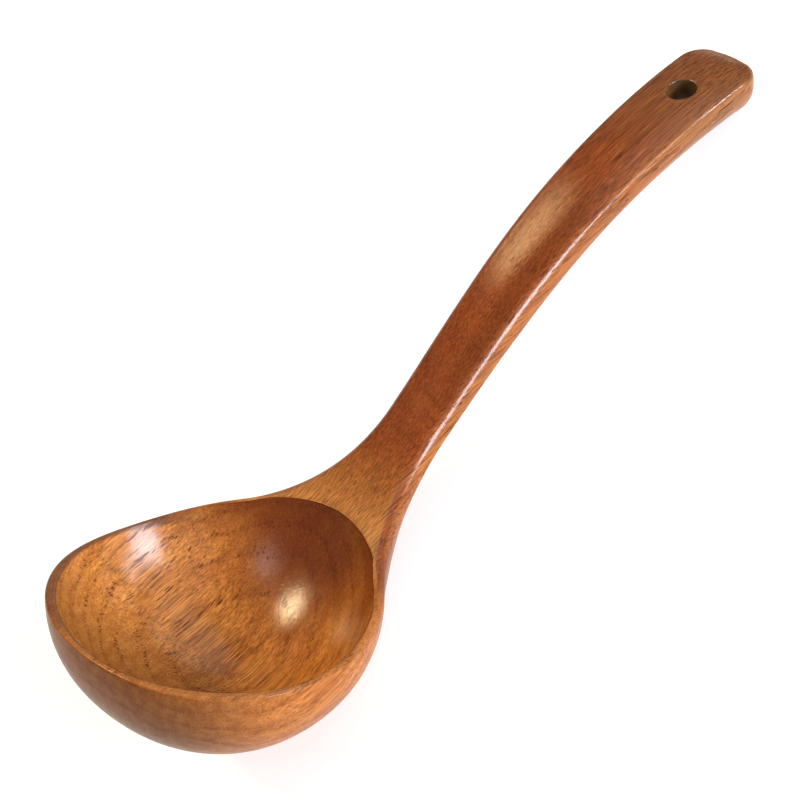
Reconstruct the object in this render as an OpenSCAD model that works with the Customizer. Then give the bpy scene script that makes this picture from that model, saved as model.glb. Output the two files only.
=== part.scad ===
// Wooden ladle with a deep round bowl, an arched handle and a hanging hole.
// It is carved from one block of wood, so it is one part with no joints.
// The lip and the top of the handle are one surface, bent along the ladle's length. It is drawn
// level across the bowl, then tipped into the pose in which the ladle lies on a table.
// Stations are distances in mm along that top surface, from the bowl's widest line to the handle's end.

/* [Bowl] */
// width of the bowl across the outside, mm
bowl_width = 82; // [60:1:110]
// from the widest line forward to the front of the lip, mm
bowl_front = 34.9; // [25:0.1:42]
// from the widest line back to where the round of the bowl would close, mm
bowl_back = 44; // [30:0.1:70]
// depth of the bowl on the outside, below the lip, mm
bowl_depth = 32; // [20:0.5:50]
// squareness of the front of the bowl seen from above, 2 is an ellipse
bowl_front_power = 2.15; // [2:0.05:3]
// squareness of the outside wall seen from the side, 2 is an ellipse
bowl_wall_power = 2.1; // [1.8:0.01:3]

/* [Hollow] */
// width of the hollow at the lip, mm
hollow_width = 79.2; // [50:0.1:105]
// from the widest line forward to the hollow's front edge, mm
hollow_front = 33.7; // [20:0.1:41]
// from the widest line back to the hollow's edge under the handle, mm
hollow_back = 43.9; // [25:0.1:68]
// depth of the hollow below the lip, mm
hollow_depth = 27; // [10:0.5:45]
// steepness of the hollow's wall at the lip, degrees
hollow_steepness = 69; // [45:1:88]
// squareness of the hollow's edge seen from above, in front of the widest line, 2 is an ellipse
hollow_front_power = 1.95; // [1.8:0.01:3]
// squareness of the hollow's edge seen from above, behind the widest line, 2 is an ellipse
hollow_back_power = 1.88; // [1.8:0.01:3]

/* [Handle] */
// station of the handle's end, mm
handle_end = 205; // [150:1:220]
// width of the neck, the narrowest place, mm
neck_width = 18.2; // [12:0.1:30]
// width of the grip near the end of the handle, mm
grip_width = 23; // [14:0.1:40]
// station where the grip reaches its full width, mm
grip_station = 192; // [120:1:210]
// radius of the hollow curve that joins the bowl to the neck, mm
shoulder_radius = 49; // [20:1:90]
// radius of the two corners at the handle's end, mm
end_corner = 7; // [2:0.5:11]
// how far the handle's end bulges out between its corners, mm
end_bulge = 0.4; // [0:0.1:3]
// rise of the handle's top along its middle, mm
top_crown = 0.7; // [0:0.1:2]
// squareness of the handle's section below its top edges, 2 is an ellipse
handle_power = 2.5; // [2:0.1:8]

/* [Hanging hole] */
// diameter of the hole, mm
hole_diameter = 8; // [4:0.5:14]
// distance from the handle's end to the hole's centre, mm
hole_from_end = 19; // [10:0.5:40]

/* [Pose] */
// how far the lip tips towards the handle when the ladle lies on a table, degrees
rest_tilt = 35.9; // [0:0.05:60]

/* [Quality] */
// number of steps along the length of the handle and the back of the bowl
steps_along = 50; // [24:1:70]
// number of steps down the outside of the ladle
steps_down = 13; // [6:1:20]

/* [Hidden] */
// slope of the top surface in degrees at each station
slopes = [[-42, 4.5], [0, 0], [22, 13.3], [45, 29], [75, 43.3], [110, 41], [155, 27], [225, 7.5]];
// depth below the top surface at each station, measured along the section's middle
depths = [[0, bowl_depth], [14, 30.7], [26, 27.8], [32, 25.6], [38, 21.6], [45, 14.4], [52, 9.6], [62, 8.2],
          [78, 8.2], [115, 10.3], [165, 10.7], [225, 13]];
// radius of the rounding along the top's outer edge at each station
edge_radii = [[0, 0.8], [28, 1.8], [55, 3.6], [100, 3.6], [160, 2.8], [198, 1.4], [225, 1]];
// stations between which sections turn from upright to square on to the handle
turn_start = 20;
turn_end = 65;
// stations between which the section changes from the bowl's shape to the handle's
blend_start = 5;
blend_end = 60;
// the lip ends at the first of these stations, and from the second on the top runs straight across
neck_station = 62;
straight_station = 85;
// stations between which the top starts to rise along its middle
crown_start = 50;
crown_end = 95;
steps_front = 16;       // around the front half of the bowl, on each side
steps_corner = 6;       // around each corner at the handle's end
steps_end = 4;          // across half of the handle's end
steps_round = 4;        // over the rounding of the top's edge
steps_lip = 4;          // across the lip, and across half of the handle's top
steps_hollow = 12;      // down the hollow
trail_step = 0.5;       // length of one step of the bent line, mm
trail_front = 45;       // how far the bent line runs forward of the widest line, mm
trail_spare = 6;        // how far it runs past the handle's end, mm
reach = 30;             // how far the hole's cutter runs past the wood on each side, mm
wood = [0.66, 0.36, 0.16];
half_width = bowl_width / 2;

// ---------- smooth curves through tables of [station, value] ----------
function row_of(x, table, i = 0) = (i >= len(table) - 2 || x < table[i + 1][0]) ? i : row_of(x, table, i + 1);
function tangent(table, i, flat_start) =
    let (a = table[max(i - 1, 0)], b = table[min(i + 1, len(table) - 1)])
    i == 0 && flat_start ? 0 : (b[1] - a[1]) / (b[0] - a[0]);
function smooth(x, table, flat_start = false) =
    let (i = row_of(x, table), a = table[i], b = table[i + 1], h = b[0] - a[0], t = (x - a[0]) / h,
         m = tangent(table, i, flat_start), n = tangent(table, i + 1, flat_start))
    (2 * t ^ 3 - 3 * t ^ 2 + 1) * a[1] + (t ^ 3 - 2 * t ^ 2 + t) * h * m
    + (3 * t ^ 2 - 2 * t ^ 3) * b[1] + (t ^ 3 - t ^ 2) * h * n;
function ease(x, from, to) = let (t = min(max((x - from) / (to - from), 0), 1)) t * t * (3 - 2 * t);
function power(v, p) = sign(v) * abs(v) ^ p;

// ---------- side view: the bent line that the top surface follows ----------
function slope(s) = smooth(s, slopes);
function trail(sense, n) = [for (i = 0, x = 0, z = 0; i <= n;
    x = x + sense * trail_step * cos(slope(sense * (i + 0.5) * trail_step)),
    z = z + sense * trail_step * sin(slope(sense * (i + 0.5) * trail_step)), i = i + 1)
    [sense * i * trail_step, x, z]];
forward = trail(-1, trail_front / trail_step);
backward = trail(1, (handle_end + trail_spare) / trail_step);
line = concat([for (i = [len(forward) - 1 : -1 : 1]) forward[i]], backward);
line_x = [for (p = line) [p[0], p[1]]];
line_z = [for (p = line) [p[0], p[2]]];
function top_point(s, y) = [lookup(s, line_x), y, lookup(s, line_z)];
function down(angle) = [sin(angle), 0, -cos(angle)];

// ---------- plan view: half of the outline, as [station, half width, station of its centre] ----------
stretch = half_width / bowl_back;
shoulder_at = sqrt((half_width + shoulder_radius) ^ 2 - (neck_width / 2 + shoulder_radius) ^ 2);
shoulder_start = shoulder_at * half_width / (half_width + shoulder_radius);
function bowl_half(q) = sqrt(half_width ^ 2 - q ^ 2);
function shoulder_half(q) =
    neck_width / 2 + shoulder_radius - sqrt(shoulder_radius ^ 2 - (shoulder_at - q) ^ 2);
function grip_half(q) =
    let (u = min(max((q - shoulder_at) / (grip_station * stretch - shoulder_at), 0), 1))
    neck_width / 2 + (grip_width - neck_width) / 2 * (1 - cos(180 * u)) / 2;
function side_half(s) = let (q = s * stretch)
    q < shoulder_start ? bowl_half(q) : q < shoulder_at ? shoulder_half(q) : grip_half(q);
side_end = handle_end - end_corner;
end_half = side_half(side_end);
outline_half = concat(
    [for (i = [0 : steps_front]) let (a = 90 * (1 - i / steps_front), p = 2 / bowl_front_power)
        [-bowl_front * power(sin(a), p), i == 0 ? 0 : half_width * power(cos(a), p), 0]],
    [for (i = [1 : steps_along]) let (u = i / steps_along, s = side_end * (0.68 * u + 0.32 * u ^ 2))
        [s, side_half(s), s]],
    [for (i = [1 : steps_corner]) let (a = 90 * i / steps_corner)
        [side_end + end_corner * sin(a), end_half - end_corner * (1 - cos(a)), side_end]],
    [for (i = [1 : steps_end]) let (y = (end_half - end_corner) * (1 - i / steps_end))
        [handle_end + end_bulge * (1 - (y / (end_half - end_corner)) ^ 2), y, side_end]]);
last = len(outline_half) - 1;
// the lip's last point, on the middle line between the hollow and the handle
lip_last = len([for (o = outline_half) if (o[0] < neck_station) o]);
// [point, side]: side is 1 on the left and -1 on the right, which share the points on the middle line
ring = concat([for (i = [0 : last]) [i, 1]], [for (i = [last - 1 : -1 : 1]) [i, -1]]);

// unit vectors square to the outline and pointing out, in plan and laid into the top surface
function outward_plan(i) =
    let (a = outline_half[max(i - 1, 0)], b = outline_half[min(i + 1, last)], on_middle = i == 0 || i == last,
         ds = on_middle ? 0 : b[0] - a[0], dw = i == 0 ? 1 : i == last ? -1 : b[1] - a[1])
    [-dw, ds] / norm([ds, dw]);
function outward(i) = let (n = outward_plan(i), angle = slope(outline_half[i][0]))
    [n[0] * cos(angle), n[1], n[0] * sin(angle)];
function edge_radius(i) = smooth(outline_half[i][2], edge_radii, true);

// ---------- outer skin: a column of points from the top's edge down to the keel ----------
function skin_column(i) =
    let (o = outline_half[i], s = o[0], centre = o[2], r = edge_radius(i),
         out = outward(i), under = down(slope(s)),
         fall = down(slope(centre) * ease(centre, turn_start, turn_end)),
         p = 2 / (bowl_wall_power + (handle_power - bowl_wall_power) * ease(centre, blend_start, blend_end)),
         edge = top_point(s, o[1]), middle = top_point(centre, 0) + fall * r, side = edge + under * r - middle,
         keel = fall * (smooth(centre, depths, true) - r))
    concat(
        [for (j = [0 : steps_round]) let (a = 90 * j / steps_round)
            edge - out * r * (1 - sin(a)) + under * r * (1 - cos(a))],
        [for (j = [1 : steps_down]) let (a = 90 * j / steps_down, c = j == steps_down ? 0 : power(cos(a), p))
            middle + [side[0] * c, side[1] * c, side[2] * (s < 0 ? c * c : c)] + keel * power(sin(a), p)]);

// ---------- top: a row of points from the hollow's edge, or the middle line, out to the edge ----------
function hollow_edge(i) =
    let (a = 180 * (1 - i / lip_last), in_front = cos(a) < 0,
         p = 2 / (in_front ? hollow_front_power : hollow_back_power))
    [(in_front ? hollow_front : hollow_back) * power(cos(a), p),
     i == 0 || i == lip_last ? 0 : hollow_width / 2 * power(sin(a), p)];
function top_inside(i) =
    let (s = outline_half[i][2], behind = ease(s, neck_station, straight_station))
    i <= lip_last ? hollow_edge(i) : [s - (neck_station - hollow_back) * (1 - behind), 0];
function top_row(i, edge) =
    let (a = top_inside(i), b = [outline_half[i][0] - edge_radius(i) * outward_plan(i)[0], edge[1]])
    [for (j = [0 : steps_lip]) let (t = j / steps_lip, q = a + (b - a) * t,
        rise = top_crown * ease(q[0], crown_start, crown_end) * (1 - t * t))
        j == steps_lip ? edge : top_point(q[0], q[1]) - down(slope(q[0])) * rise];

// ---------- hollow: a column of points from its edge down to its lowest point, round as a ball ----------
hollow_middle = [(hollow_back - hollow_front) / 2, 0, 0];
function ball(c) = sqrt(1 - (c * sin(hollow_steepness)) ^ 2);
function hollow_column(i) =
    let (e = hollow_edge(i), edge = top_point(e[0], e[1]) - hollow_middle)
    [for (j = [0 : steps_hollow]) let (c = j == steps_hollow ? 0 : cos(90 * j / steps_hollow))
        hollow_middle + [edge[0] * c, edge[1] * c,
                         edge[2] * c * c - hollow_depth * (ball(c) - ball(1)) / (1 - ball(1))]];

// ---------- all points in the resting pose ----------
function mirrored(p, side) = [p[0], side * p[1] + 0, p[2]];
function tipped(p) = [p[0] * cos(rest_tilt) + p[2] * sin(rest_tilt), p[1],
                      p[2] * cos(rest_tilt) - p[0] * sin(rest_tilt)];
skin_half = [for (i = [0 : last]) skin_column(i)];
top_half = [for (i = [0 : last]) top_row(i, skin_half[i][0])];
hollow_half = [for (i = [0 : lip_last]) hollow_column(i)];
hollow_ring = [for (q = ring) if (q[0] < lip_last || q == [lip_last, 1]) q];
function laid(columns, order) = [for (q = order) for (p = columns[q[0]]) tipped(mirrored(p, q[1]))];
raw = concat(laid(skin_half, ring), laid(top_half, ring), laid(hollow_half, hollow_ring));
raw_x = [for (p = raw) p[0]];
corner = [(min(raw_x) + max(raw_x)) / 2, 0, min([for (p = raw) p[2]])];
points = [for (p = raw) p - corner];

// two triangles for each cell between neighbouring columns of a closed ring
function cells(first, columns, size, flip) = [for (c = [0 : columns - 1], j = [0 : size - 2])
    let (a = first + c * size + j, b = first + (c + 1) % columns * size + j)
    each flip ? [[a, b, b + 1], [a, b + 1, a + 1]] : [[a, b + 1, b], [a, a + 1, b + 1]]];
skin_size = len(skin_half[0]);
top_first = len(ring) * skin_size;
top_size = steps_lip + 1;
hollow_first = top_first + len(ring) * top_size;
faces = concat(cells(0, len(ring), skin_size, false), cells(top_first, len(ring), top_size, false),
               cells(hollow_first, len(hollow_ring), steps_hollow + 1, true));

module hanging_hole() {
    s = handle_end - hole_from_end;
    translate(tipped(top_point(s, 0)) - corner) rotate([0, rest_tilt - slope(s), 0])
        translate([0, 0, -reach]) cylinder(r = hole_diameter / 2, h = 2 * reach, $fn = 64);
}

module ladle() {
    color(wood) difference() {
        polyhedron(points = points, faces = faces, convexity = 6);
        hanging_hole();
    }
}

ladle();
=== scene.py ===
import math

import bmesh
import bpy
import numpy as np
from mathutils import Matrix, Quaternion, Vector


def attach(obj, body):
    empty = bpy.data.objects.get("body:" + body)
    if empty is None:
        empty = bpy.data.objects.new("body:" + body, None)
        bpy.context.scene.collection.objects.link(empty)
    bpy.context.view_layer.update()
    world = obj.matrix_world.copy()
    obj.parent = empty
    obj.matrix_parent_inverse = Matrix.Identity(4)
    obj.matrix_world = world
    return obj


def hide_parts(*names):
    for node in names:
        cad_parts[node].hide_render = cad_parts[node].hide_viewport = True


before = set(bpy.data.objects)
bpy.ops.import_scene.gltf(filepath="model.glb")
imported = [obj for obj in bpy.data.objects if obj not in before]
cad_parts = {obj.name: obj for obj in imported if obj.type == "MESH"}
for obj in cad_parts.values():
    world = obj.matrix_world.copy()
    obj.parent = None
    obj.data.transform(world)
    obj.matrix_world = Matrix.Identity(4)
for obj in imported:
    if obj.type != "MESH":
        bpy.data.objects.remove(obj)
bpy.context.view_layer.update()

# ---------- shape, in mm: the same curves as the CAD part ----------
# A station s is a length along the top surface, from the middle of the bowl towards the handle's end.
BOWL_WIDTH, BOWL_FRONT, BOWL_BACK, BOWL_DEPTH = 82, 34.9, 44, 32
FRONT_POWER, WALL_POWER, HANDLE_POWER = 2.15, 2.1, 2.5
HOLLOW_WIDTH, HOLLOW_FRONT, HOLLOW_BACK, HOLLOW_DEPTH = 79.2, 33.7, 43.9, 27
HOLLOW_MIDDLE = (HOLLOW_BACK - HOLLOW_FRONT) / 2
HOLLOW_TURN = math.radians(69)      # how far the hollow's arc turns from its bottom to its lip
RIM_FRONT_POWER, RIM_BACK_POWER = 1.95, 1.88
HANDLE_END, NECK_WIDTH, GRIP_WIDTH, GRIP_STATION, SHOULDER = 205, 18.2, 23, 192, 49
END_CORNER, END_BULGE, CROWN = 7, 0.4, 0.7
HOLE_RADIUS, HOLE_STATION = 4, HANDLE_END - 19
REST_TILT = math.radians(35.9)
# by station: the top's climb in degrees, the depth below the top, and the radius of the top's outer edge
SLOPES = [(-42, 4.5), (0, 0), (22, 13.3), (45, 29), (75, 43.3), (110, 41), (155, 27), (225, 7.5)]
DEPTHS = [(0, BOWL_DEPTH), (14, 30.7), (26, 27.8), (32, 25.6), (38, 21.6), (45, 14.4), (52, 9.6), (62, 8.2),
          (78, 8.2), (115, 10.3), (165, 10.7), (225, 13)]
EDGE_RADII = [(0, 0.8), (28, 1.8), (55, 3.6), (100, 3.6), (160, 2.8), (198, 1.4), (225, 1)]
TURN, BLEND = (20, 65), (5, 60)      # where the section turns with the top, and changes from bowl to handle
NECK_STATION, STRAIGHT_STATION = 62, 85
CROWN_RISE = (50, 95)      # stations between which the handle's top becomes crowned
RIM_RADIUS, HOLE_SOFTNESS = 0.3, 0.45
SNUG = 0.9995      # this finer mesh's box would be up to 0.02 mm past the CAD's box without it

# how fine the mesh is: steps along the outline, then down the skin, across the top and down the hollow
N_FRONT, N_ALONG, N_CORNER, N_END = 56, 170, 14, 12
N_ROUND, N_DOWN, N_TOP, N_RIM, N_HOLLOW = 8, 30, 10, 4, 44
FINER_AT_BOWL = 0.32      # 0 would space the steps along the side evenly
N_HOLE_SIDES, N_HOLE_ROUND = 96, 6
TRAIL_START, TRAIL_END, TRAIL_STEP = -45, HANDLE_END + 6, 0.5
WELD, SLIVER = 2e-6, 1e-7      # in metres
SHARP_ANGLE = math.radians(50)


def smooth(x, table, flat_start=False):
    """A smooth curve through a table of (station, value)."""
    xs, ys = np.array(table, float).T
    m = np.gradient(ys)
    m[1:-1] = (ys[2:] - ys[:-2]) / (xs[2:] - xs[:-2])
    m[0] = 0 if flat_start else (ys[1] - ys[0]) / (xs[1] - xs[0])
    m[-1] = (ys[-1] - ys[-2]) / (xs[-1] - xs[-2])
    i = np.clip(np.searchsorted(xs, x, side="right") - 1, 0, len(xs) - 2)
    h = xs[i + 1] - xs[i]
    t = (x - xs[i]) / h
    return ((2 * t**3 - 3 * t**2 + 1) * ys[i] + (t**3 - 2 * t**2 + t) * h * m[i]
            + (3 * t**2 - 2 * t**3) * ys[i + 1] + (t**3 - t**2) * h * m[i + 1])


def ease(x, start, end):
    """0 before start, 1 after end and smooth between them."""
    t = np.clip((np.asarray(x, float) - start) / (end - start), 0, 1)
    return t * t * (3 - 2 * t)


def power(v, p):
    """A power that keeps the sign."""
    return np.sign(v) * np.abs(v) ** p


def slope(s):
    """How steeply the top surface climbs at station s."""
    return np.radians(smooth(s, SLOPES))


# the top surface's middle line, walked in short steps, with station 0 at x = z = 0
TRAIL = np.arange(TRAIL_START, TRAIL_END, TRAIL_STEP)
TRAIL_SLOPE = slope(TRAIL[:-1] + TRAIL_STEP / 2)
TRAIL_X = np.concatenate([[0], np.cumsum(np.cos(TRAIL_SLOPE) * TRAIL_STEP)])
TRAIL_Z = np.concatenate([[0], np.cumsum(np.sin(TRAIL_SLOPE) * TRAIL_STEP)])
TRAIL_X -= np.interp(0, TRAIL, TRAIL_X)
TRAIL_Z -= np.interp(0, TRAIL, TRAIL_Z)


def top_point(s, y):
    """The point of the top surface at station s, y off its middle line."""
    s, y = np.broadcast_arrays(np.asarray(s, float), y)
    return np.stack([np.interp(s, TRAIL, TRAIL_X), y, np.interp(s, TRAIL, TRAIL_Z)], -1)


def down(angle):
    """The direction straight down into a surface that climbs at this angle."""
    return np.stack([np.sin(angle), 0 * angle, -np.cos(angle)], -1)


def side_half(s):
    """Half the width at station s: the bowl's ellipse, the shoulder's arc and then the handle."""
    half, k, neck = BOWL_WIDTH / 2, BOWL_WIDTH / 2 / BOWL_BACK, NECK_WIDTH / 2
    q = s * k
    join = math.sqrt((half + SHOULDER) ** 2 - (neck + SHOULDER) ** 2)
    u = np.clip((q - join) / (GRIP_STATION * k - join), 0, 1)
    grip = neck + (GRIP_WIDTH / 2 - neck) * (1 - np.cos(math.pi * u)) / 2
    bowl = np.sqrt(np.maximum(half**2 - q**2, 0))
    arc = neck + SHOULDER - np.sqrt(np.maximum(SHOULDER**2 - (join - q) ** 2, 0))
    return np.where(q < join * half / (half + SHOULDER), bowl, np.where(q < join, arc, grip))


def quarter(n):
    """Angles from just past 0 to a quarter turn."""
    return math.pi / 2 * np.arange(1, n + 1) / n


def cosine(b):
    """The cosine of b, and exactly 0 at a quarter turn."""
    return math.cos(b) if b < math.pi / 2 - 1e-9 else 0.0


def outline():
    """Half of the outline: stations, half widths and the stations of the sections' centres."""
    a = math.pi / 2 * (1 - np.arange(N_FRONT + 1) / N_FRONT)
    s_front = -BOWL_FRONT * power(np.sin(a), 2 / FRONT_POWER)
    w_front = BOWL_WIDTH / 2 * power(np.abs(np.cos(a)), 2 / FRONT_POWER)
    w_front[0] = 0
    side_end = HANDLE_END - END_CORNER
    u = np.arange(1, N_ALONG + 1) / N_ALONG
    s_side = side_end * ((1 - FINER_AT_BOWL) * u + FINER_AT_BOWL * u * u)
    w_side = side_half(s_side)
    t = quarter(N_CORNER)
    flat = w_side[-1] - END_CORNER
    y = flat * (1 - np.arange(1, N_END + 1) / N_END)
    s_end = HANDLE_END + END_BULGE * (1 - (y / flat) ** 2)
    s = np.concatenate([s_front, s_side, side_end + END_CORNER * np.sin(t), s_end])
    w = np.concatenate([w_front, w_side, w_side[-1] - END_CORNER * (1 - np.cos(t)), y])
    centre = np.concatenate([0 * s_front, s_side, np.full(N_CORNER + N_END, side_end)])
    return s, w, centre


def outward(s, w):
    """Unit vectors in plan, square to the line (s, w) and pointing out."""
    ds, dw = np.empty(len(s)), np.empty(len(s))
    ds[1:-1], dw[1:-1] = s[2:] - s[:-2], w[2:] - w[:-2]
    ds[0] = ds[-1] = 0
    dw[0], dw[-1] = 1, -1
    n = np.hypot(ds, dw)
    return -dw / n, ds / n


def on_top(s, plan):
    """A direction in plan, laid into the top surface at station s."""
    return np.stack([plan[0] * np.cos(slope(s)), plan[1], plan[0] * np.sin(slope(s))], -1)


def edge_radius(centre):
    """How round the top's outer edge is, for a section with its centre at this station."""
    return smooth(centre, EDGE_RADII, True)


def skin_rows(s, w, centre, plan):
    """Rows from the top's rounded edge, round the outside, to the middle line of the underside."""
    out, under, edge = on_top(s, plan), down(slope(s)), top_point(s, w)
    r = edge_radius(centre)
    rows = [edge - out * (r * (1 - math.sin(b)))[:, None] + under * (r * (1 - math.cos(b)))[:, None]
            for b in np.concatenate([[0], quarter(N_ROUND)])]
    fall = down(slope(centre) * ease(centre, *TURN))
    p = 2 / (WALL_POWER + (HANDLE_POWER - WALL_POWER) * ease(centre, *BLEND))
    middle = top_point(centre, 0) + fall * r[:, None]
    reach = fall * (smooth(centre, DEPTHS, True) - r)[:, None]
    side = edge + under * r[:, None] - middle
    for b in quarter(N_DOWN):
        c = power(cosine(b), p)
        q = side * c[:, None]
        q[:, 2] *= np.where(s < 0, c, 1)
        rows.append(middle + q + reach * power(math.sin(b), p)[:, None])
    return rows


def rim_line(count):
    """The hollow's edge from front to back: stations, half widths and directions out of it in plan."""
    a = math.pi * (1 - np.arange(count + 1) / count)
    front = np.cos(a) < 0
    p = 2 / np.where(front, RIM_FRONT_POWER, RIM_BACK_POWER)
    s = np.where(front, HOLLOW_FRONT, HOLLOW_BACK) * power(np.cos(a), p)
    w = HOLLOW_WIDTH / 2 * power(np.abs(np.sin(a)), p)
    w[0] = w[-1] = 0
    plan = outward(s, w)
    plan[0][-1], plan[1][-1] = 1, 0
    return s, w, plan


def top_rows(s, centre, plan, rim, outer_row):
    """Rows from the hollow's edge, or behind it the top's middle line, out to the skin's first row."""
    rim_s, rim_w, rim_plan = rim
    inner_s = centre + (HOLLOW_BACK - NECK_STATION) * (1 - ease(centre, NECK_STATION, STRAIGHT_STATION))
    inner_w = 0 * inner_s
    inner_s[:len(rim_s)] = rim_s + RIM_RADIUS * rim_plan[0]
    inner_w[:len(rim_s)] = rim_w + RIM_RADIUS * rim_plan[1]
    outer_s, outer_w = s - edge_radius(centre) * plan[0], outer_row[:, 1]
    rows = []
    for t in np.arange(N_TOP) / N_TOP:
        q, v = inner_s + (outer_s - inner_s) * t, inner_w + (outer_w - inner_w) * t
        rise = CROWN * ease(q, *CROWN_RISE) * (1 - t * t)
        rows.append(top_point(q, v) - down(slope(q)) * rise[:, None])
    return rows + [outer_row]


def ball(c):
    """Height of a unit ball over the point that is c of the way out to the hollow's lip."""
    return math.sqrt(1 - (c * math.sin(HOLLOW_TURN)) ** 2)


def hollow_rows(rim, first_row):
    """Rows from the hollow's rounded edge down to its bottom."""
    s, w, plan = rim
    edge, out, under = top_point(s, w), on_top(s, plan), down(slope(s))
    rounding = [edge + RIM_RADIUS * (out * (1 - math.sin(b)) + under * (1 - math.cos(b)))
                for b in quarter(N_RIM)]
    rows = [first_row] + rounding
    middle = np.array([HOLLOW_MIDDLE, 0, 0])
    for b in quarter(N_HOLLOW):
        c = cosine(b)
        q = (edge - middle) * c
        q[:, 2] *= c
        q[:, 2] -= HOLLOW_DEPTH * (ball(c) - ball(1)) / (1 - ball(1))
        rows.append(middle + q)
    return rows


def half_grids():
    """Rows of points of the skin, the top and the hollow, for the half with y >= 0."""
    s, w, centre = outline()
    plan = outward(s, w)
    rim = rim_line(int(np.sum(s < NECK_STATION)))
    skin = skin_rows(s, w, centre, plan)
    top = top_rows(s, centre, plan, rim, skin[0])
    hollow = hollow_rows(rim, top[0][:len(rim[0])])
    return np.array(skin), np.array(top), np.array(hollow)


def tipped(p):
    """Points turned from the curves' own pose to the ladle's pose at rest on the table."""
    c, s = math.cos(REST_TILT), math.sin(REST_TILT)
    return np.stack([p[..., 0] * c + p[..., 2] * s, p[..., 1], p[..., 2] * c - p[..., 0] * s], -1)


def in_frame(p, shift):
    """A point of the curves in its place in the frame, in metres."""
    return tuple((tipped(p) - shift) / 1000)


def add_grid(bm, grid, flip):
    """A grid of faces and its mirror image; flip turns their fronts round."""
    for sense in (1, -1):
        side = grid * np.array([1, sense, 1])
        verts = [[bm.verts.new(p) for p in row] for row in side]
        for j in range(len(verts) - 1):
            for i in range(len(verts[0]) - 1):
                quad = [verts[j][i], verts[j][i + 1], verts[j + 1][i + 1], verts[j + 1][i]]
                bm.faces.new(quad[::-1] if flip == (sense > 0) else quad)


def link_mesh(name, bm):
    mesh = bpy.data.meshes.new(name)
    bm.to_mesh(mesh)
    bm.free()
    piece = bpy.data.objects.new(name, mesh)
    bpy.context.scene.collection.objects.link(piece)
    return piece


def build_ladle():
    """The ladle without its hole, and the shift from the curves' own origin to the frame's, in mm."""
    skin, top, hollow = (tipped(g) for g in half_grids())
    points = np.concatenate([g.reshape(-1, 3) for g in (skin, top, hollow)])
    shift = np.array([(points[:, 0].min() + points[:, 0].max()) / 2, 0, points[:, 2].min()])
    bm = bmesh.new()
    for grid, flip in ((skin, True), (top, True), (hollow, False)):
        add_grid(bm, (grid - shift) * SNUG / 1000, flip)
    bmesh.ops.remove_doubles(bm, verts=bm.verts, dist=WELD)
    bmesh.ops.dissolve_degenerate(bm, edges=bm.edges, dist=SLIVER)
    return link_mesh("ladle_body", bm), shift


def cutter_end(z, sense):
    """One end of the cutter's profile, up (sense 1) or down (-1), flared to round the hole's edge."""
    brim, slant, stub = HOLE_RADIUS + HOLE_SOFTNESS + 0.6, 0.02, 2
    flare = [(HOLE_RADIUS + HOLE_SOFTNESS * (1 - math.cos(b)),
              z - sense * HOLE_SOFTNESS * (1 - math.sin(b)))
             for b in np.linspace(0, math.pi / 2, N_HOLE_ROUND + 1)]
    return flare + [(brim, z + sense * slant), (brim, z + sense * stub)]


def hole_cutter(centre, lean):
    """A lathe-turned cutter along the hole's axis."""
    top_z = CROWN * 0.86      # the crown's height at the hole's edge
    bottom_z = -float(smooth(HOLE_STATION, DEPTHS, True))
    profile = cutter_end(bottom_z, -1)[::-1] + cutter_end(top_z, 1)
    turns = 2 * math.pi * np.arange(N_HOLE_SIDES) / N_HOLE_SIDES
    bm = bmesh.new()
    rings = [[bm.verts.new((r / 1000 * math.cos(t), r / 1000 * math.sin(t), z / 1000)) for t in turns]
             for r, z in profile]
    for a, b in zip(rings, rings[1:]):
        for i in range(N_HOLE_SIDES):
            j = (i + 1) % N_HOLE_SIDES
            bm.faces.new((a[i], a[j], b[j], b[i]))
    bm.faces.new(rings[0][::-1])
    bm.faces.new(rings[-1])
    bm.transform(Matrix.Translation(Vector(centre)) @ Matrix.Rotation(lean, 4, "Y"))
    return link_mesh("cutter", bm)


def bore_hole(ladle, centre, lean):
    cutter = hole_cutter(centre, lean)
    cut = ladle.modifiers.new("hole", "BOOLEAN")
    cut.operation, cut.solver, cut.object = "DIFFERENCE", "EXACT", cutter
    evaluated = ladle.evaluated_get(bpy.context.evaluated_depsgraph_get())
    mesh = bpy.data.meshes.new_from_object(evaluated)
    ladle.modifiers.clear()
    ladle.data = mesh
    bpy.data.objects.remove(cutter)
    mesh.polygons.foreach_set("use_smooth", [True] * len(mesh.polygons))
    mesh.set_sharp_from_angle(angle=SHARP_ANGLE)


ladle, shift = build_ladle()
HOLE_CENTRE = in_frame(top_point(HOLE_STATION, 0.0), shift)
HOLE_LEAN = REST_TILT - float(slope(HOLE_STATION))
bore_hole(ladle, HOLE_CENTRE, HOLE_LEAN)

# ---------- material ----------
GRAIN_ANGLE = math.radians(-14)
FIBRE_WAY = (math.cos(GRAIN_ANGLE), 0, math.sin(GRAIN_ANGLE))
LIP_UP = (math.sin(REST_TILT), 0, math.cos(REST_TILT))
LIP_PLANE = -(shift[0] * LIP_UP[0] + shift[2] * LIP_UP[2]) / 1000      # how far up LIP_UP the lip lies
BOWL_MIDDLE = in_frame(np.array((HOLLOW_MIDDLE, 0, 10)), shift)      # 10 mm above the lip's plane
HOLE_AXIS = (math.sin(HOLE_LEAN), 0, math.cos(HOLE_LEAN))

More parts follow.
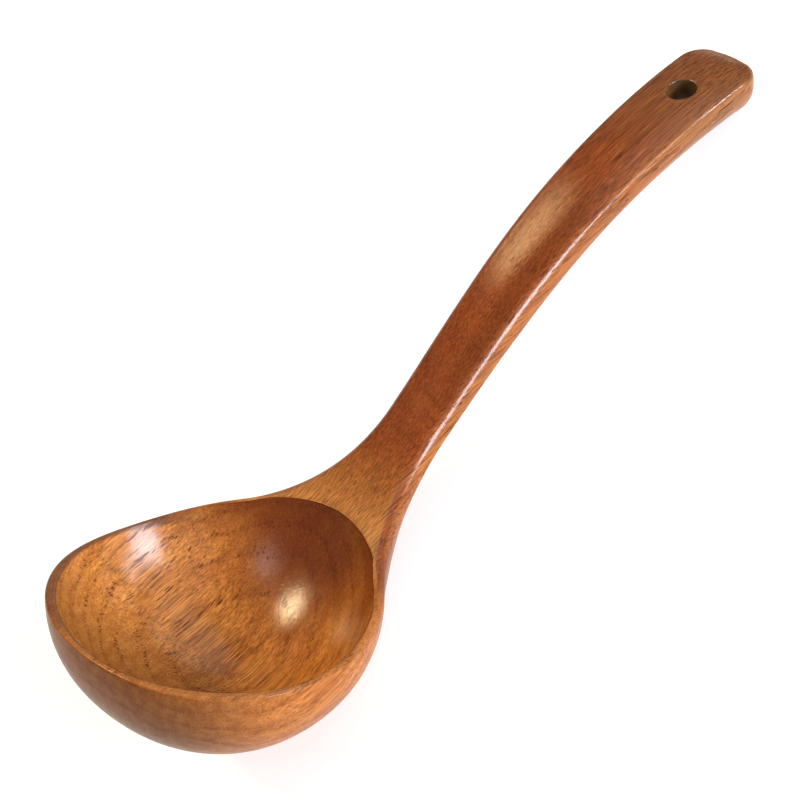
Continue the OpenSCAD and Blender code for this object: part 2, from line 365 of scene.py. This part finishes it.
LIGHT_WOOD, MID_WOOD = (0.5, 0.19, 0.038, 1), (0.38, 0.13, 0.025, 1)
NECK_HEART, HANDLE_HEART = (0.16, 0.029, 0.005, 1), (0.12, 0.022, 0.004, 1)
END_HEART = (0.092, 0.031, 0.012, 1)
# the second colour on the next line is painted shade for the handle's top
PORE_DARK, PAINTED_EDGE_SHADE = (0.085, 0.022, 0.008, 1), (0.06, 0.014, 0.004, 1)
# the first colour on the next line is a painted golden sheen for the flare
# the second colour on the next line darkens the bowl's outside: painted shade
FLARE_PAINTED_SHEEN, OUTSIDE_PAINTED_SHADE = (0.4, 0.16, 0.036, 1), (0.86, 0.8, 0.9, 1)
# the first colour on the next line is painted shade for the lip's top
# the second colour on the next line is painted shade for the hole's wall
LIP_PAINTED_SHADE, BORE_PAINTED_SHADE = (0.12, 0.042, 0.02, 1), (0.07, 0.035, 0.014, 1)

# Places in the board are in mm along the grain, across the board and up through it. A mask fades in over one
# pair of numbers, and a band also fades out over a second pair.
HEART_ALONG, HEART_ACROSS, HEART_SWAY = (-82, -50), (-42, -22), (-12, 12)
HANDLE_HEART_ALONG, END_HEART_ALONG = (20, 55), (55, 90)
# painted shade along the handle's top, beside its near edge
EDGE_SHADE_ALONG, EDGE_SHADE_ACROSS, EDGE_SHADE_STRENGTH = ((-15, 0), (45, 62)), ((-9.5, -7), (-4.5, -1.5)), 0.35
# a painted golden sheen on the upward faces of the flare behind the bowl
FLARE_ALONG, FLARE_HEIGHT, FLARE_UPWARD, FLARE_SHEEN_STRENGTH = ((-62, -52), (-46, -20)), (5, 7), (0.85, 0.95), 0.62
# the lip's painted shade lies within LIP_ALONG and LIP_ACROSS
OUTSIDE_ALONG, LIP_ALONG, LIP_ACROSS = (-35, -55), (-60, -75), (-25, 15)
# these are measured in the frame, in metres
OUTSIDE_AWAY, LIP_DEPTH = (0.008, 0.02), (-0.0009, -0.0001)
# where the hole's painted shade lies
BORE_RADIUS, BORE_LENGTHWISE = (0.0044, 0.00405), (-0.004, 0.001)

# how far the surface faces sideways or cuts the grain, and how strong each look is at those two ends
# the second pair on the next line is painted light: it weakens the heartwood on sideways faces, so the sides
# come out lighter than the top
SIDE_FACING, HEART_WITH_PAINTED_SIDE_LIGHT = (0.5, 0.95), (0.88, 0.58)
FIBRE_FADE, FIBRE_CONTRAST = (0.1, 0.7), (0.72, 0.34)
END_GRAIN, END_SHADE = (0.35, 1.0), (1.0, 0.52)
# the first two set how strong the painted shade is on the lip and in the hole
LIP_SHADE_STRENGTH, BORE_SHADE_STRENGTH, EARLY_STRENGTH, PORE_STRENGTH = (0.35, 0.8), (0.35, 0.92), 0.2, 0.85

# growth rings: how far apart, where their far axis lies (y, z) and how much they wave, in mm in the board
RING_PITCH, RING_AXIS, RING_WAVE = 4.6, (22, -90), 12
RING_PORES = (0.0, 0.08), (0.1, 0.5)      # the band of a ring that has the large pores; 1 is a ring's width
# pores: pitch, length and half widths in the late and the early wood, in mm, and the texture's offset
LARGE_PORES = 0.55, 10, (0.09, 0.21), (0, 0, 0)
SMALL_PORES = 0.4, 6, (0.09, 0.15), (3, 5, 7)
SMALL_PORE_STRENGTH, OUTSIDE_PORE_STRENGTH, PORE_WANDER = 0.55, 0.35, 1.2

# how fast each noise changes, per mm along the grain, across the board and up through it
WAVE_RATE, WANDER_RATE, FIBRE_RATE = (0.01, 0.04, 0.04), (0.16, 0.25, 0.25), (0.05, 2.4, 2.4)
STREAK_RATE, CLOUD_RATE = (0.01, 0.4, 0.4), (0.012, 0.035, 0.05)


class Graph:
    """Small helpers to write a material's node tree."""

    def __init__(self, material):
        material.use_nodes = True
        self.tree = material.node_tree
        self.shader = self.tree.nodes["Principled BSDF"]

    def node(self, kind, inputs=(), **settings):
        n = self.tree.nodes.new("ShaderNode" + kind)
        for name, value in settings.items():
            setattr(n, name, value)
        for name, value in dict(inputs).items():
            self.plug(n.inputs[name], value)
        return n

    def plug(self, socket, value):
        if isinstance(value, bpy.types.NodeSocket):
            self.tree.links.new(value, socket)
        else:
            socket.default_value = value

    def math(self, operation, a, b=0.0):
        return self.node("Math", {0: a, 1: b}, operation=operation).outputs[0]

    def product(self, first, *others):
        """All the values multiplied together."""
        for other in others:
            first = self.math("MULTIPLY", first, other)
        return first

    def vector(self, operation, a, b=(0, 0, 0), c=(0, 0, 0)):
        """What a vector operation gives: a number for a dot product or a length, and else a vector."""
        n = self.node("VectorMath", {0: a, 1: b, 2: c}, operation=operation)
        return n.outputs["Value" if operation in ("DOT_PRODUCT", "LENGTH") else "Vector"]

    def parts(self, vector):
        """The x, y and z of a vector."""
        return self.node("SeparateXYZ", {0: vector}).outputs

    def scaled(self, vector, scale, offset=(0, 0, 0)):
        return self.node("Mapping", {"Vector": vector, "Scale": scale, "Location": offset}).outputs[0]

    def noise(self, vector, detail, roughness=0.5, output="Fac"):
        n = self.node("TexNoise", {"Vector": vector, "Scale": 1.0, "Detail": detail, "Roughness": roughness})
        return n.outputs[output]

    def spread(self, value, low, high, to_low=0.0, to_high=1.0, smooth=True):
        """The value's range low to high (which may run backwards) laid out from to_low to to_high."""
        n = self.node("MapRange", {"Value": value, "From Min": low, "From Max": high,
                                   "To Min": to_low, "To Max": to_high},
                      interpolation_type="SMOOTHSTEP" if smooth else "LINEAR")
        return n.outputs[0]

    def band(self, value, rise, fall):
        """1 between the two ranges: it rises over the first one and falls over the second one."""
        return self.product(self.spread(value, *rise), self.spread(value, *fall[::-1]))

    def mix(self, factor, a, b, blend="MIX"):
        n = self.node("Mix", data_type="RGBA", blend_type=blend)
        self.plug(n.inputs[0], factor)
        self.plug(n.inputs[6], a)
        self.plug(n.inputs[7], b)
        return n.outputs[2]


class Board:
    """Where a point of the surface lies in the board that the ladle is carved from, and how it faces."""

    def __init__(self, g):
        coordinates = g.node("TexCoord").outputs
        self.place, self.normal = coordinates["Object"], coordinates["Normal"]
        # the place in the board: x along the grain, y across the board and z up through it
        self.grain = g.node("Mapping", {"Vector": self.place, "Rotation": (0, GRAIN_ANGLE, 0),
                                        "Scale": (1000, 1000, 1000)}).outputs[0]
        self.along, self.across, self.height = g.parts(self.grain)
        self.facing = g.parts(self.normal)
        # 0 where the surface runs along the grain, 1 where it cuts straight across it
        self.end_grain = g.math("ABSOLUTE", g.vector("DOT_PRODUCT", self.normal, FIBRE_WAY))
        # 1 on the outside of the bowl, where the surface faces away from the bowl's middle
        from_bowl = g.vector("SUBTRACT", self.place, BOWL_MIDDLE)
        away = g.vector("DOT_PRODUCT", from_bowl, self.normal)
        self.outside = g.product(g.spread(away, *OUTSIDE_AWAY), g.spread(self.along, *OUTSIDE_ALONG))


def early_wood(g, board):
    """1 in the part of each growth ring that has the large pores; the rings are wavy cylinders."""
    noise = g.noise(g.scaled(board.grain, WAVE_RATE), 2, output="Color")
    wave = g.vector("SUBTRACT", noise, (0.5, 0.5, 0.5))
    bent = g.parts(g.vector("MULTIPLY_ADD", wave, (0, RING_WAVE, RING_WAVE), board.grain))
    dy, dz = g.math("SUBTRACT", bent["Y"], RING_AXIS[0]), g.math("SUBTRACT", bent["Z"], RING_AXIS[1])
    radius = g.math("SQRT", g.math("ADD", g.product(dy, dy), g.product(dz, dz)))
    ring = g.math("FRACT", g.math("DIVIDE", radius, RING_PITCH))
    return g.band(ring, *RING_PORES)


def vessels(g, board, early, wander, pitch, length, half_widths, offset):
    """1 in tubes along the grain that wander a little, where the surface cuts them open."""
    cell = g.scaled(board.grain, (1 / length, 1 / pitch, 0.5 / pitch), offset)
    tubes = g.vector("MULTIPLY_ADD", wander, (0, PORE_WANDER / pitch, PORE_WANDER / pitch), cell)
    cells = g.node("TexVoronoi", {"Vector": tubes, "Scale": 1.0, "Randomness": 1.0})
    widest = g.spread(early, 0, 1, half_widths[0] / pitch, half_widths[1] / pitch, smooth=False)
    chance = g.parts(cells.outputs["Color"])["X"]
    half = g.product(widest, g.spread(chance, 0.0, 0.6, 0.6, 1.0))
    return g.spread(g.math("DIVIDE", cells.outputs["Distance"], half), 1.15, 0.6)


def pores(g, board, early):
    """1 in a large pore and less in a small one; they show less on the outside of the bowl."""
    wander = g.noise(g.scaled(board.grain, WANDER_RATE), 1, output="Color")
    large, small = (vessels(g, board, early, wander, *kind) for kind in (LARGE_PORES, SMALL_PORES))
    pore = g.math("MAXIMUM", large, g.product(small, SMALL_PORE_STRENGTH))
    return g.product(pore, g.spread(board.outside, 0, 1, 1.0, OUTSIDE_PORE_STRENGTH))


def heartwood(g, board):
    """How far the wood is heartwood: towards the neck and along the handle, with a cloudy border."""
    cloud = g.noise(g.scaled(board.grain, CLOUD_RATE, (5, 2, 1)), 1)
    along = g.math("ADD", board.along, g.spread(cloud, 0.3, 0.7, *HEART_SWAY, smooth=False))
    # it is weaker on faces turned sideways, so these come out lighter and the top darker: painted light and
    # shade over the heartwood's real colour
    side = g.math("ABSOLUTE", board.facing["Y"])
    return g.product(g.spread(along, *HEART_ALONG), g.spread(board.across, *HEART_ACROSS),
                     g.spread(side, *SIDE_FACING, *HEART_WITH_PAINTED_SIDE_LIGHT))


def bare_wood(g, board, early):
    """Light wood in streaks, and heartwood that is red at the neck and browner at the handle's end."""
    streak = g.noise(g.scaled(board.grain, STREAK_RATE, (3, 1, 7)), 3, 0.6)
    colour = g.mix(g.spread(streak, 0.35, 0.65), LIGHT_WOOD, MID_WOOD)
    dark = g.mix(g.spread(board.along, *HANDLE_HEART_ALONG), NECK_HEART, HANDLE_HEART)
    dark = g.mix(g.spread(board.along, *END_HEART_ALONG), dark, END_HEART)
    colour = g.mix(heartwood(g, board), colour, dark)
    return g.mix(g.product(early, EARLY_STRENGTH), colour, dark)


def fibre_tone(g, board, fibre):
    """A grey that the colours are multiplied by: fibres, which fade on end grain, and darker end grain."""
    contrast = g.spread(board.end_grain, *FIBRE_FADE, *FIBRE_CONTRAST)
    darkest, lightest = g.math("SUBTRACT", 1.0, contrast), g.math("ADD", 1.0, contrast)
    fibres = g.spread(fibre, 0.3, 0.7, darkest, lightest, smooth=False)
    shade = g.product(fibres, g.spread(board.end_grain, *END_GRAIN, *END_SHADE))
    return g.node("CombineXYZ", {0: shade, 1: shade, 2: shade}).outputs[0]


def painted_edge_shade(g, board):
    """Where painted shade runs along the handle's top, beside its near edge, where the top rounds away from
    the light.
    """
    return g.product(g.band(board.across, *EDGE_SHADE_ACROSS), g.band(board.along, *EDGE_SHADE_ALONG),
                     EDGE_SHADE_STRENGTH)


def painted_flare_sheen(g, board):
    """Where a painted golden sheen, the reflection of a warm light, lies on the top of the flare behind the
    bowl.
    """
    return g.product(g.band(board.along, *FLARE_ALONG), g.spread(board.height, *FLARE_HEIGHT),
                     g.spread(board.facing["Z"], *FLARE_UPWARD), FLARE_SHEEN_STRENGTH)


def painted_lip_shade(g, board):
    """Where painted shade, standing for the dark surroundings it reflects, darkens the lip's flat top, most
    of all on the far side.
    """
    above_lip = g.math("SUBTRACT", g.vector("DOT_PRODUCT", board.place, LIP_UP), LIP_PLANE)
    return g.product(g.spread(above_lip, *LIP_DEPTH), g.spread(board.along, *LIP_ALONG),
                     g.spread(board.across, *LIP_ACROSS, *LIP_SHADE_STRENGTH))


def painted_bore_shade(g, board):
    """Where painted shade darkens the hole's wall, most of all on its side towards the handle's end, which
    the light does not reach.
    """
    from_hole = g.vector("SUBTRACT", board.place, HOLE_CENTRE)
    radius = g.vector("LENGTH", g.vector("CROSS_PRODUCT", from_hole, HOLE_AXIS))
    return g.product(g.spread(radius, *BORE_RADIUS),
                     g.spread(g.parts(from_hole)["X"], *BORE_LENGTHWISE, *BORE_SHADE_STRENGTH))


def surface(g, board, fibre, pore):
    """The wood's relief, and lacquer that partly fills the pores and is weaker there and outside the bowl."""
    relief = g.math("SUBTRACT", g.product(fibre, 0.6), pore)
    coat_relief = g.math("SUBTRACT", fibre, g.product(pore, 0.35))
    coat = g.math("SUBTRACT", 1.0, g.product(pore, 0.6))
    bump = g.node("Bump", {"Height": relief, "Strength": 0.6, "Distance": 0.0001}).outputs[0]
    coat_bump = g.node("Bump", {"Height": coat_relief, "Strength": 0.5, "Distance": 0.00006}).outputs[0]
    for name, value in (("Normal", bump), ("Roughness", 0.5), ("Specular IOR Level", 0.0),
                        ("Coat Weight", g.product(coat, g.spread(board.outside, 0, 1, 1.0, 0.5))),
                        ("Coat Normal", coat_bump), ("Coat Roughness", 0.15), ("Coat IOR", 1.38)):
        g.plug(g.shader.inputs[name], value)


def wood_material():
    material = bpy.data.materials.new("lacquered_wood")
    g = Graph(material)
    board = Board(g)
    early = early_wood(g, board)
    pore = pores(g, board, early)
    fibre = g.noise(g.scaled(board.grain, FIBRE_RATE), 3, 0.8)
    tone = fibre_tone(g, board, fibre)
    colour = g.mix(1.0, bare_wood(g, board, early), tone, "MULTIPLY")
    colour = g.mix(g.product(pore, PORE_STRENGTH), colour, PORE_DARK)
    # painted shade along the handle's top, where it rounds away from the light
    colour = g.mix(painted_edge_shade(g, board), colour, PAINTED_EDGE_SHADE)
    # painted golden sheen: a warm light's reflection on the flare
    colour = g.mix(painted_flare_sheen(g, board), colour, g.mix(1.0, tone, FLARE_PAINTED_SHEEN, "MULTIPLY"))
    # the bowl's outside is darkened: painted shade
    colour = g.mix(board.outside, colour, g.mix(1.0, colour, OUTSIDE_PAINTED_SHADE, "MULTIPLY"))
    # painted shade and a painted dark reflection on the lip's top, strongest on the far side
    colour = g.mix(painted_lip_shade(g, board), colour, LIP_PAINTED_SHADE)
    # painted shade inside the hole
    colour = g.mix(painted_bore_shade(g, board), colour, BORE_PAINTED_SHADE)
    g.plug(g.shader.inputs["Base Color"], colour)
    surface(g, board, fibre, pore)
    return material


ladle.data.materials.clear()
ladle.data.materials.append(wood_material())
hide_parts("ladle")
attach(ladle, "root")

# ---------- floor, light and camera ----------
# the points on the ladle that the lights are placed from or aimed at, in mm
BOWL_FAR_SIDE, BOWL_FLOOR, BOWL_REAR = (-75, 35, 26), (-66, 3, 7), (-60, 14, 12)
MIDDLE, HANDLE_TOP, HANDLE_EDGE, HANDLE_TIP = (0, 0, 20), (41, 0, 26), (101, -11, 15), (110, 0, 12)
# the camera's place in metres, its turn in degrees and its lens in mm
CAMERA_PLACE, CAMERA_TURN = (-0.18216, -0.50646, 0.64141), (34.72448, 23.35584, -48.38973)
CAMERA_LENS = 149.451


def lay_floor():
    """A wide floor that glows a little, so that the background comes out white."""
    bpy.ops.mesh.primitive_plane_add(size=8)
    floor = bpy.context.object
    floor.name = "floor"
    paper = bpy.data.materials.new("pale_floor")
    paper.use_nodes = True
    for name, value in (("Base Color", (0.6, 0.6, 0.6, 1)), ("Roughness", 0.9), ("Specular IOR Level", 0.1),
                        ("Emission Color", (1, 1, 1, 1)), ("Emission Strength", 0.58)):
        paper.node_tree.nodes["Principled BSDF"].inputs[name].default_value = value
    floor.data.materials.append(paper)


def studio_light(name, target_mm, azimuth, elevation, width, height, radiance, colour=(1, 1, 1),
                 distance=1.5, shape="ELLIPSE", roll=0, beam=180, aim_mm=None):
    """A soft light seen from the target in that direction, of that width and height in degrees."""
    a, e = math.radians(azimuth), math.radians(elevation)
    way = Vector((math.cos(a) * math.cos(e), math.sin(a) * math.cos(e), math.sin(e)))
    data = bpy.data.lights.new(name, "AREA")
    data.shape = shape
    data.size = 2 * distance * math.tan(math.radians(width / 2))
    data.size_y = 2 * distance * math.tan(math.radians(height / 2))
    data.energy = radiance * math.pi * data.size * data.size_y
    data.color = colour
    data.spread = math.radians(beam)
    light = bpy.data.objects.new(name, data)
    light.location = Vector(target_mm) / 1000 + way * distance
    back = light.location - Vector(aim_mm or target_mm) / 1000
    turned = back.to_track_quat("Z", "Y") @ Quaternion((0, 0, 1), math.radians(roll))
    light.rotation_euler = turned.to_euler()
    light.visible_camera = False
    bpy.context.scene.collection.objects.link(light)


def light_studio():
    studio_light("window", BOWL_FAR_SIDE, -78, 15, 19, 19, 26, (0.95, 0.99, 1.1), shape="RECTANGLE", roll=45)
    studio_light("window_side", BOWL_FAR_SIDE, -60, 12, 18, 10, 10)
    studio_light("front_fill", MIDDLE, -80, 42, 60, 50, 0.65)
    studio_light("back_fill", MIDDLE, -5, 45, 60, 50, 0.8)
    studio_light("lamp", BOWL_FLOOR, 114, 53.5, 11, 13, 46, (1, 0.77, 0.43))
    studio_light("ceiling", BOWL_REAR, 173, 63, 12, 12, 4)
    studio_light("warm_wall", HANDLE_TOP, 66, 41, 20, 26, 1.5, (1, 0.68, 0.32),
                 distance=0.3, shape="RECTANGLE", beam=58, aim_mm=HANDLE_TIP)
    studio_light("window_end", HANDLE_EDGE, -48, 16, 10, 12, 0.9, distance=0.35, beam=30)


def fill_world():
    world = bpy.data.worlds.new("studio")
    bpy.context.scene.world = world
    world.use_nodes = True
    sky = world.node_tree.nodes["Background"]
    sky.inputs["Color"].default_value = (1, 1, 1, 1)
    sky.inputs["Strength"].default_value = 0.22


def place_camera():
    data = bpy.data.cameras.new("camera")
    data.lens, data.sensor_width = CAMERA_LENS, 36
    data.clip_end = 20
    camera = bpy.data.objects.new("camera", data)
    camera.location = CAMERA_PLACE
    camera.rotation_euler = tuple(math.radians(a) for a in CAMERA_TURN)
    bpy.context.scene.collection.objects.link(camera)
    bpy.context.scene.camera = camera
    bpy.context.scene.view_settings.view_transform = "Standard"


lay_floor()
light_studio()
fill_world()
place_camera()
